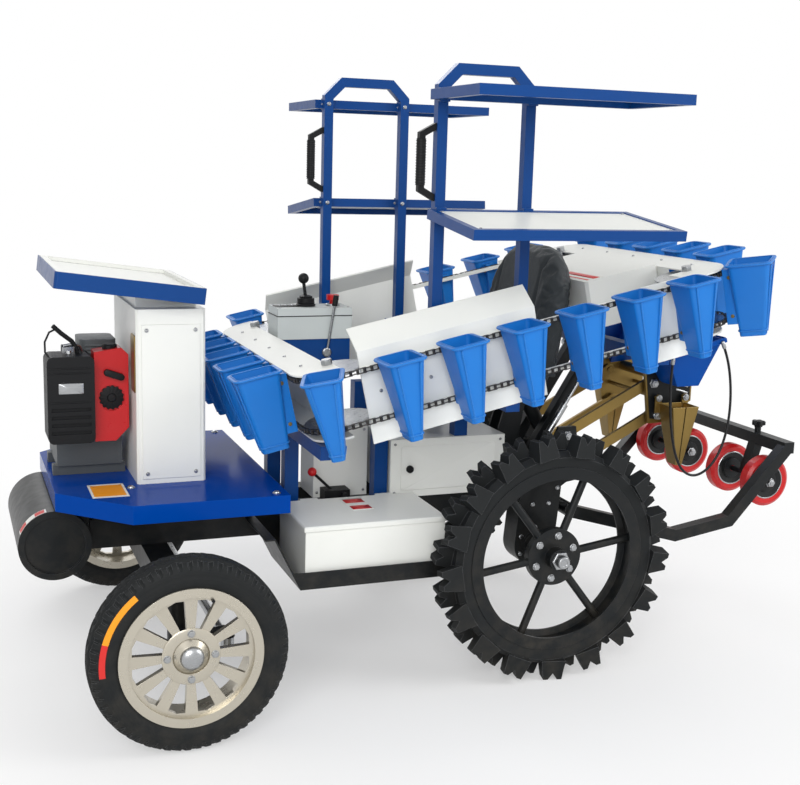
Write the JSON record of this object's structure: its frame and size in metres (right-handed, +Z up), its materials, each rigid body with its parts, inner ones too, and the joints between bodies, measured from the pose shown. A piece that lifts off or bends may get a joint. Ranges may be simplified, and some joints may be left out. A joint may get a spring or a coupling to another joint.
{
  "type": "vegetable transplanter",
  "caption": "Self-propelled vegetable transplanter with an inclined loop of blue seedling cups around the seat, tray racks, lugged rear wheels and a duckbill planting head",
  "frame": {"origin": "middle of the overall box, on the ground", "axes": "+X forward, +Y to the machine's left, +Z up"},
  "size_m": [2.2889, 1.3598, 1.65],
  "materials": {
    "royal_blue": "satin",
    "deck_blue": "gloss",
    "cup_blue": "satin",
    "hopper_blue": "satin",
    "white_paint": "satin",
    "black_paint": "satin",
    "black_plastic": "matte",
    "steel": "satin",
    "chain_steel": "oiled",
    "alloy": "gloss",
    "rubber": "matte",
    "red_paint": "gloss",
    "red_plastic": "gloss",
    "zinc": "yellow zinc",
    "vinyl": "satin",
    "grey_plastic": "matte",
    "engine_grey": "cast"
  },
  "bodies": {
    "chassis": {"belt_guard": "black_paint", "cabinets": "white_paint", "chassis_frame": "black_paint", "column": "white_paint", "control_box": "grey_plastic", "control_lever": "black_plastic", "conveyor_stand": "royal_blue", "corner_sprockets": "steel", "cup_chains": "chain_steel", "end_covers": "white_paint", "engine_air_cleaner": "black_plastic", "engine_block": "engine_grey", "engine_deck": "deck_blue", "engine_shroud": "red_paint", "final_drives": "black_paint", "foot_trays": "black_paint", "front_axle_beam": "black_paint", "rack_handles": "black_plastic", "rear_table": "white_paint", "red_knobs": "red_plastic", "seat_back": "vinyl", "seat_cushion": "vinyl", "seat_slide": "black_paint", "seedling_cups": "cup_blue", "seedling_racks": "royal_blue", "shelf_sheets": "white_paint", "side_panels": "white_paint", "toolbox": "white_paint", "transmission": "engine_grey", "tray_frame": "royal_blue", "tray_sheet": "white_paint", "valve_block": "black_plastic"},
    "knuckle_left": {"knuckle_left": "black_paint"},
    "knuckle_right": {"knuckle_right": "black_paint"},
    "tie_rod": {"tie_rod": "steel"},
    "front_wheel_left": {"front_tyre_left": "rubber", "front_rim_left": "alloy"},
    "front_wheel_right": {"front_tyre_right": "rubber", "front_rim_right": "alloy"},
    "rear_wheel_left": {"rear_tyre_left": "rubber", "rear_wheel_left": "black_paint"},
    "rear_wheel_right": {"rear_tyre_right": "rubber", "rear_wheel_right": "black_paint"},
    "toolbox_lid": {"toolbox_lid": "white_paint"},
    "planting_frame": {"planting_frame": "black_paint"},
    "press_wheel_left_outer": {"press_wheel_left_outer": "red_plastic"},
    "press_wheel_left_inner": {"press_wheel_left_inner": "red_plastic"},
    "press_wheel_right_inner": {"press_wheel_right_inner": "red_plastic"},
    "press_wheel_right_outer": {"press_wheel_right_outer": "red_plastic"},
    "lower_links": {"lower_links": "zinc"},
    "upper_links": {"upper_links": "zinc"},
    "planting_head": {"planting_head": "black_paint", "hopper": "hopper_blue", "duckbill_cable": "black_plastic"},
    "duckbill_front": {"duckbill_front": "zinc"},
    "duckbill_rear": {"duckbill_rear": "zinc"},
    "lift_barrel": {"lift_barrel": "black_paint"},
    "lift_rod": {"lift_rod": "steel"}
  },
  "joints": [
    {"name": "steer_left", "type": "hinge", "parent": "chassis", "child": "knuckle_left", "pos_m": [0.7855, 0.48, 0.24], "axis": [0, 0, 1], "range_deg": [-28, 28]},
    {"name": "steer_right", "type": "hinge", "parent": "chassis", "child": "knuckle_right", "pos_m": [0.7855, -0.48, 0.24], "axis": [0, 0, 1], "range_deg": [-28, 28]},
    {"name": "tie_rod_swing", "type": "hinge", "parent": "knuckle_left", "child": "tie_rod", "pos_m": [0.6655, 0.48, 0.205], "axis": [0, 0, 1], "range_deg": [-28, 28]},
    {"name": "front_spin_left", "type": "hinge", "parent": "knuckle_left", "child": "front_wheel_left", "pos_m": [0.7855, 0.6, 0.24], "axis": [0, 1, 0], "continuous": true},
    {"name": "rear_spin_left", "type": "hinge", "parent": "chassis", "child": "rear_wheel_left", "pos_m": [-0.2445, 0.475, 0.345], "axis": [0, 1, 0], "continuous": true},
    {"name": "front_spin_right", "type": "hinge", "parent": "knuckle_right", "child": "front_wheel_right", "pos_m": [0.7855, -0.6, 0.24], "axis": [0, 1, 0], "continuous": true},
    {"name": "rear_spin_right", "type": "hinge", "parent": "chassis", "child": "rear_wheel_right", "pos_m": [-0.2445, -0.475, 0.345], "axis": [0, 1, 0], "continuous": true},
    {"name": "lid_open", "type": "hinge", "parent": "chassis", "child": "toolbox_lid", "pos_m": [0.244, 0.141, 0.453], "axis": [1, 0, 0], "range_deg": [0, 40]},
    {"name": "planting_lift", "type": "hinge", "parent": "chassis", "child": "planting_frame", "pos_m": [-0.3645, 0, 0.43], "axis": [0, -1, 0], "range_deg": [0, 32]},
    {"name": "press_spin_left_outer", "type": "hinge", "parent": "planting_frame", "child": "press_wheel_left_outer", "pos_m": [-1.0665, 0.3, 0.46], "axis": [0, 1, 0], "continuous": true},
    {"name": "press_spin_left_inner", "type": "hinge", "parent": "planting_frame", "child": "press_wheel_left_inner", "pos_m": [-1.0665, 0.12, 0.46], "axis": [0, 1, 0], "continuous": true},
    {"name": "press_spin_right_inner", "type": "hinge", "parent": "planting_frame", "child": "press_wheel_right_inner", "pos_m": [-1.0665, -0.12, 0.46], "axis": [0, 1, 0], "continuous": true},
    {"name": "press_spin_right_outer", "type": "hinge", "parent": "planting_frame", "child": "press_wheel_right_outer", "pos_m": [-1.0665, -0.3, 0.46], "axis": [0, 1, 0], "continuous": true},
    {"name": "links_swing", "type": "hinge", "parent": "planting_frame", "child": "lower_links", "pos_m": [-0.4745, 0, 0.5], "axis": [0, -1, 0], "range_deg": [0, 40]},
    {"name": "upper_links_swing", "type": "hinge", "parent": "planting_frame", "child": "upper_links", "pos_m": [-0.4545, 0, 0.6], "axis": [0, -1, 0], "range_deg": [0, 40]},
    {"name": "head_level", "type": "hinge", "parent": "lower_links", "child": "planting_head", "pos_m": [-0.7645, 0, 0.65], "axis": [0, -1, 0], "range_deg": [-40, 0]},
    {"name": "bill_front_open", "type": "hinge", "parent": "planting_head", "child": "duckbill_front", "pos_m": [-0.7565, 0, 0.706], "axis": [0, -1, 0], "range_deg": [0, 22]},
    {"name": "bill_rear_open", "type": "hinge", "parent": "planting_head", "child": "duckbill_rear", "pos_m": [-0.8525, 0, 0.706], "axis": [0, 1, 0], "range_deg": [0, 22]},
    {"name": "barrel_swing", "type": "hinge", "parent": "chassis", "child": "lift_barrel", "pos_m": [-0.3445, 0, 0.75], "axis": [0, -1, 0], "range_deg": [-1.9, 0]},
    {"name": "rod_slide", "type": "slide", "parent": "lift_barrel", "child": "lift_rod", "axis": [-0.5178, 0, -0.8555], "range_m": [0, 0.08833]}
  ],
  "couplings": [
    {"joint": "steer_right", "follows": "steer_left", "ratio": 1},
    {"joint": "tie_rod_swing", "follows": "steer_left", "ratio": -1},
    {"joint": "upper_links_swing", "follows": "links_swing", "ratio": 1},
    {"joint": "head_level", "follows": "links_swing", "ratio": -1},
    {"joint": "bill_rear_open", "follows": "bill_front_open", "ratio": 1},
    {"joint": "barrel_swing", "follows": "planting_lift", "ratio": -0.059359},
    {"joint": "rod_slide", "follows": "planting_lift", "m_per_rad": 0.15816}
  ]
}
